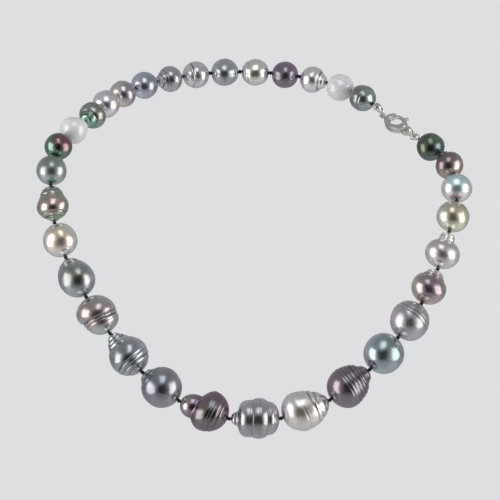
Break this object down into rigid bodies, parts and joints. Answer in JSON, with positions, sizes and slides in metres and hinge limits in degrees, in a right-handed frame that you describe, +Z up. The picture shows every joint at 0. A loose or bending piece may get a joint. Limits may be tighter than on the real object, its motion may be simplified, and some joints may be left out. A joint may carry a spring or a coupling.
{
  "type": "pearl necklace",
  "caption": "Collar-length strand of graduated multicolour baroque pearls, knotted on silk, with a trigger clasp, shaped as it hangs round a neck.",
  "frame": {"origin": "on the neck's axis, level with the middle of the strand at the nape", "axes": "+Z up along the neck, -Y towards the front of the wearer, +X towards the wearer's left, where the clasp is"},
  "size_m": [0.1309, 0.0945, 0.1035],
  "materials": {
    "nacre_peacock": "dark green-blue nacre, very lustrous",
    "nacre_bronze": "brown-grey nacre with a gold cast",
    "nacre_steel": "blue-grey nacre",
    "nacre_pistachio": "pale yellow-green nacre",
    "nacre_lavender": "pale lavender silver nacre",
    "nacre_mauve": "mauve-brown nacre",
    "nacre_silver": "light silver nacre",
    "nacre_teal": "teal-green nacre",
    "nacre_aubergine": "dark purple nacre with green and gold overtones",
    "nacre_pewter": "neutral grey nacre",
    "nacre_storm": "dark blue-grey nacre",
    "nacre_rose": "pinkish white nacre",
    "nacre_moss": "dark grey-green nacre",
    "nacre_cream": "warm cream-white nacre",
    "nacre_sage": "grey-green nacre",
    "nacre_ice": "bluish white nacre",
    "silk": "twisted dark brown-black silk beading cord, matte",
    "silver_metal": "polished sterling silver",
    "spring_steel": "drawn stainless spring wire"
  },
  "bodies": {
    "pearl_01": {"pearl_01": "nacre_peacock"},
    "pearl_02": {"pearl_02": "nacre_bronze"},
    "pearl_03": {"pearl_03": "nacre_steel"},
    "pearl_04": {"pearl_04": "nacre_pistachio"},
    "pearl_05": {"pearl_05": "nacre_lavender"},
    "pearl_06": {"pearl_06": "nacre_mauve"},
    "pearl_07": {"pearl_07": "nacre_silver"},
    "pearl_08": {"pearl_08": "nacre_teal"},
    "pearl_09": {"pearl_09": "nacre_aubergine"},
    "pearl_10": {"pearl_10": "nacre_silver"},
    "pearl_11": {"pearl_11": "nacre_pewter"},
    "pearl_12": {"pearl_12": "nacre_aubergine"},
    "pearl_13": {"pearl_13": "nacre_mauve"},
    "pearl_14": {"pearl_14": "nacre_storm"},
    "pearl_15": {"pearl_15": "nacre_rose"},
    "pearl_16": {"pearl_16": "nacre_moss"},
    "pearl_17": {"pearl_17": "nacre_cream"},
    "pearl_18": {"pearl_18": "nacre_bronze"},
    "pearl_19": {"pearl_19": "nacre_sage"},
    "pearl_20": {"pearl_20": "nacre_moss"},
    "pearl_21": {"pearl_21": "nacre_ice"},
    "pearl_22": {"pearl_22": "nacre_peacock"},
    "pearl_23": {"pearl_23": "nacre_silver"},
    "pearl_24": {"pearl_24": "nacre_mauve"},
    "pearl_25": {"pearl_25": "nacre_teal"},
    "pearl_26": {"pearl_26": "nacre_pewter"},
    "pearl_27": {"pearl_27": "nacre_lavender"},
    "pearl_28": {"pearl_28": "nacre_storm", "silk_thread": "silk"},
    "pearl_29": {"pearl_29": "nacre_pistachio"},
    "pearl_30": {"pearl_30": "nacre_aubergine"},
    "pearl_31": {"pearl_31": "nacre_steel"},
    "pearl_32": {"pearl_32": "nacre_ice"},
    "pearl_33": {"pearl_33": "nacre_moss"},
    "claw_loop": {"claw_loop": "silver_metal"},
    "claw_ring": {"claw_ring": "silver_metal"},
    "claw": {"claw": "silver_metal", "claw_rivet": "silver_metal", "claw_spring": "spring_steel"},
    "claw_trigger": {"claw_trigger": "silver_metal"},
    "end_loop": {"end_loop": "silver_metal"},
    "end_ring": {"end_ring": "silver_metal"}
  },
  "joints": [
    {"name": "knot_27", "type": "hinge", "parent": "pearl_28", "child": "pearl_27", "pos_m": [-0.01354, 0.04924, -0.00016], "axis": [-0.3409, 0.9295, -0.1407], "range_deg": [-25, 25], "deforming": ["silk_thread"]},
    {"name": "knot_26", "type": "hinge", "parent": "pearl_27", "child": "pearl_26", "pos_m": [-0.02201, 0.04604, -0.00078], "axis": [-0.1732, 0.0746, 0.9821], "range_deg": [-25, 25], "deforming": ["silk_thread"]},
    {"name": "knot_25", "type": "hinge", "parent": "pearl_26", "child": "pearl_25", "pos_m": [-0.03001, 0.04124, -0.00182], "axis": [0.6324, -0.7554, 0.1715], "range_deg": [-25, 25], "deforming": ["silk_thread"]},
    {"name": "knot_24", "type": "hinge", "parent": "pearl_25", "child": "pearl_24", "pos_m": [-0.03673, 0.03529, -0.00327], "axis": [0.7277, -0.658, 0.1936], "range_deg": [-25, 25], "deforming": ["silk_thread"]},
    {"name": "knot_23", "type": "hinge", "parent": "pearl_24", "child": "pearl_23", "pos_m": [-0.04268, 0.02814, -0.00516], "axis": [-0.8852, 0.4262, 0.1866], "range_deg": [-25, 25], "deforming": ["silk_thread"]},
    {"name": "knot_22", "type": "hinge", "parent": "pearl_23", "child": "pearl_22", "pos_m": [-0.04702, 0.02021, -0.00763], "axis": [-0.8242, 0.5165, -0.2323], "range_deg": [-25, 25], "deforming": ["silk_thread"]},
    {"name": "knot_21", "type": "hinge", "parent": "pearl_22", "child": "pearl_21", "pos_m": [-0.05118, 0.01231, -0.01047], "axis": [0.7864, -0.548, -0.285], "range_deg": [-25, 25], "deforming": ["silk_thread"]},
    {"name": "knot_20", "type": "hinge", "parent": "pearl_21", "child": "pearl_20", "pos_m": [-0.05716, 0.0055, -0.01387], "axis": [0.8128, -0.5537, 0.1812], "range_deg": [-25, 25], "deforming": ["silk_thread"]},
    {"name": "knot_19", "type": "hinge", "parent": "pearl_20", "child": "pearl_19", "pos_m": [-0.06057, -0.00115, -0.01887], "axis": [-0.9936, 0.1093, -0.0274], "range_deg": [-25, 25], "deforming": ["silk_thread"]},
    {"name": "knot_18", "type": "hinge", "parent": "pearl_19", "child": "pearl_18", "pos_m": [-0.06099, -0.00693, -0.0267], "axis": [-0.853, 0.4502, -0.264], "range_deg": [-25, 25], "deforming": ["silk_thread"]},
    {"name": "knot_17", "type": "hinge", "parent": "pearl_18", "child": "pearl_17", "pos_m": [-0.0598, -0.01114, -0.03771], "axis": [0.9462, 0.0168, 0.3232], "range_deg": [-25, 25], "deforming": ["silk_thread"]},
    {"name": "knot_16", "type": "hinge", "parent": "pearl_17", "child": "pearl_16", "pos_m": [-0.05637, -0.0151, -0.04755], "axis": [0.8673, 0.3883, 0.3114], "range_deg": [-25, 25], "deforming": ["silk_thread"]},
    {"name": "knot_15", "type": "hinge", "parent": "pearl_16", "child": "pearl_15", "pos_m": [-0.05019, -0.01988, -0.05879], "axis": [-0.8155, -0.4225, -0.3955], "range_deg": [-25, 25], "deforming": ["silk_thread"]},
    {"name": "knot_14", "type": "hinge", "parent": "pearl_15", "child": "pearl_14", "pos_m": [-0.04301, -0.02403, -0.06917], "axis": [-0.7522, -0.4515, -0.4799], "range_deg": [-25, 25], "deforming": ["silk_thread"]},
    {"name": "knot_13", "type": "hinge", "parent": "pearl_14", "child": "pearl_13", "pos_m": [-0.03329, -0.02839, -0.08029], "axis": [0.6051, 0.4928, 0.6253], "range_deg": [-25, 25], "deforming": ["silk_thread"]},
    {"name": "knot_12", "type": "hinge", "parent": "pearl_13", "child": "pearl_12", "pos_m": [-0.02237, -0.03161, -0.08833], "axis": [0.2951, 0.7889, 0.539], "range_deg": [-25, 25], "deforming": ["silk_thread"]},
    {"name": "knot_11", "type": "hinge", "parent": "pearl_12", "child": "pearl_11", "pos_m": [-0.00742, -0.03376, -0.09337], "axis": [0.0043, -0.9804, -0.1969], "range_deg": [-25, 25], "deforming": ["silk_thread"]},
    {"name": "knot_10", "type": "hinge", "parent": "pearl_11", "child": "pearl_10", "pos_m": [0.00809, -0.03372, -0.09325], "axis": [0.3058, -0.7848, -0.539], "range_deg": [-25, 25], "deforming": ["silk_thread"]},
    {"name": "knot_09", "type": "hinge", "parent": "pearl_10", "child": "pearl_09", "pos_m": [0.02258, -0.03157, -0.08816], "axis": [-0.3405, 0.937, 0.0782], "range_deg": [-25, 25], "deforming": ["silk_thread"]},
    {"name": "knot_08", "type": "hinge", "parent": "pearl_09", "child": "pearl_08", "pos_m": [0.0345, -0.02796, -0.07952], "axis": [-0.4344, 0.9007, -0.007], "range_deg": [-25, 25], "deforming": ["silk_thread"]},
    {"name": "knot_07", "type": "hinge", "parent": "pearl_08", "child": "pearl_07", "pos_m": [0.043, -0.02379, -0.07049], "axis": [0.6703, 0.3241, -0.6676], "range_deg": [-25, 25], "deforming": ["silk_thread"]},
    {"name": "knot_06", "type": "hinge", "parent": "pearl_07", "child": "pearl_06", "pos_m": [0.05004, -0.01897, -0.06108], "axis": [0.5111, -0.852, 0.1138], "range_deg": [-25, 25], "deforming": ["silk_thread"]},
    {"name": "knot_05", "type": "hinge", "parent": "pearl_06", "child": "pearl_05", "pos_m": [0.05501, -0.01467, -0.0512], "axis": [-0.7954, -0.422, 0.4351], "range_deg": [-25, 25], "deforming": ["silk_thread"]},
    {"name": "knot_04", "type": "hinge", "parent": "pearl_05", "child": "pearl_04", "pos_m": [0.05851, -0.01031, -0.04059], "axis": [-0.568, 0.7629, -0.3088], "range_deg": [-25, 25], "deforming": ["silk_thread"]},
    {"name": "knot_03", "type": "hinge", "parent": "pearl_04", "child": "pearl_03", "pos_m": [0.0609, -0.00509, -0.03207], "axis": [0.8035, 0.4443, -0.3962], "range_deg": [-25, 25], "deforming": ["silk_thread"]},
    {"name": "knot_02", "type": "hinge", "parent": "pearl_03", "child": "pearl_02", "pos_m": [0.06104, 0.001, -0.02497], "axis": [0.5062, -0.3187, 0.8014], "range_deg": [-25, 25], "deforming": ["silk_thread"]},
    {"name": "knot_01", "type": "hinge", "parent": "pearl_02", "child": "pearl_01", "pos_m": [0.05642, 0.00755, -0.01945], "axis": [-0.6358, -0.7531, 0.1693], "range_deg": [-25, 25], "deforming": ["silk_thread"]},
    {"name": "knot_28", "type": "hinge", "parent": "pearl_28", "child": "pearl_29", "pos_m": [-0.00429, 0.05083, 0.00008], "axis": [-0.0044, -0.9903, 0.1386], "range_deg": [-25, 25], "deforming": ["silk_thread"]},
    {"name": "knot_29", "type": "hinge", "parent": "pearl_29", "child": "pearl_30", "pos_m": [0.00509, 0.05074, -0.00028], "axis": [-0.126, -0.1309, -0.9833], "range_deg": [-25, 25], "deforming": ["silk_thread"]},
    {"name": "knot_30", "type": "hinge", "parent": "pearl_30", "child": "pearl_31", "pos_m": [0.01398, 0.04909, -0.0012], "axis": [0.3199, 0.9316, -0.1727], "range_deg": [-25, 25], "deforming": ["silk_thread"]},
    {"name": "knot_31", "type": "hinge", "parent": "pearl_31", "child": "pearl_32", "pos_m": [0.02255, 0.04587, -0.00275], "axis": [0.3069, 0.059, 0.9499], "range_deg": [-25, 25], "deforming": ["silk_thread"]},
    {"name": "knot_32", "type": "hinge", "parent": "pearl_32", "child": "pearl_33", "pos_m": [0.03018, 0.04106, -0.00492], "axis": [-0.6532, -0.7092, 0.2653], "range_deg": [-25, 25], "deforming": ["silk_thread"]},
    {"name": "knot_00", "type": "hinge", "parent": "pearl_01", "child": "claw_loop", "pos_m": [0.05027, 0.01354, -0.0159], "axis": [-0.647, -0.734, 0.2066], "range_deg": [-25, 25], "deforming": ["silk_thread"]},
    {"name": "knot_33", "type": "hinge", "parent": "pearl_33", "child": "end_loop", "pos_m": [0.03612, 0.03453, -0.00778], "axis": [-0.4302, 0.0752, -0.8996], "range_deg": [-25, 25], "deforming": ["silk_thread"]},
    {"name": "claw_ring_swing", "type": "hinge", "parent": "claw_loop", "child": "claw_ring", "pos_m": [0.04856, 0.0153, -0.01504], "axis": [-0.2074, -0.5264, 0.8246], "range_deg": [-20, 20]},
    {"name": "claw_swing", "type": "hinge", "parent": "claw_ring", "child": "claw", "pos_m": [0.04627, 0.01808, -0.01384], "axis": [-0.2366, -0.4609, 0.8553], "range_deg": [-20, 20]},
    {"name": "trigger_open", "type": "hinge", "parent": "claw", "child": "claw_trigger", "pos_m": [0.04554, 0.02078, -0.01259], "axis": [-0.2366, -0.4609, 0.8553], "range_deg": [0, 24], "stiffness_Nm_per_rad": 0.002, "deforming": ["claw_spring"]},
    {"name": "end_ring_swing", "type": "hinge", "parent": "end_loop", "child": "end_ring", "pos_m": [0.03748, 0.03248, -0.00861], "axis": [0.2444, 0.4498, -0.859], "range_deg": [-20, 20]}
  ]
}
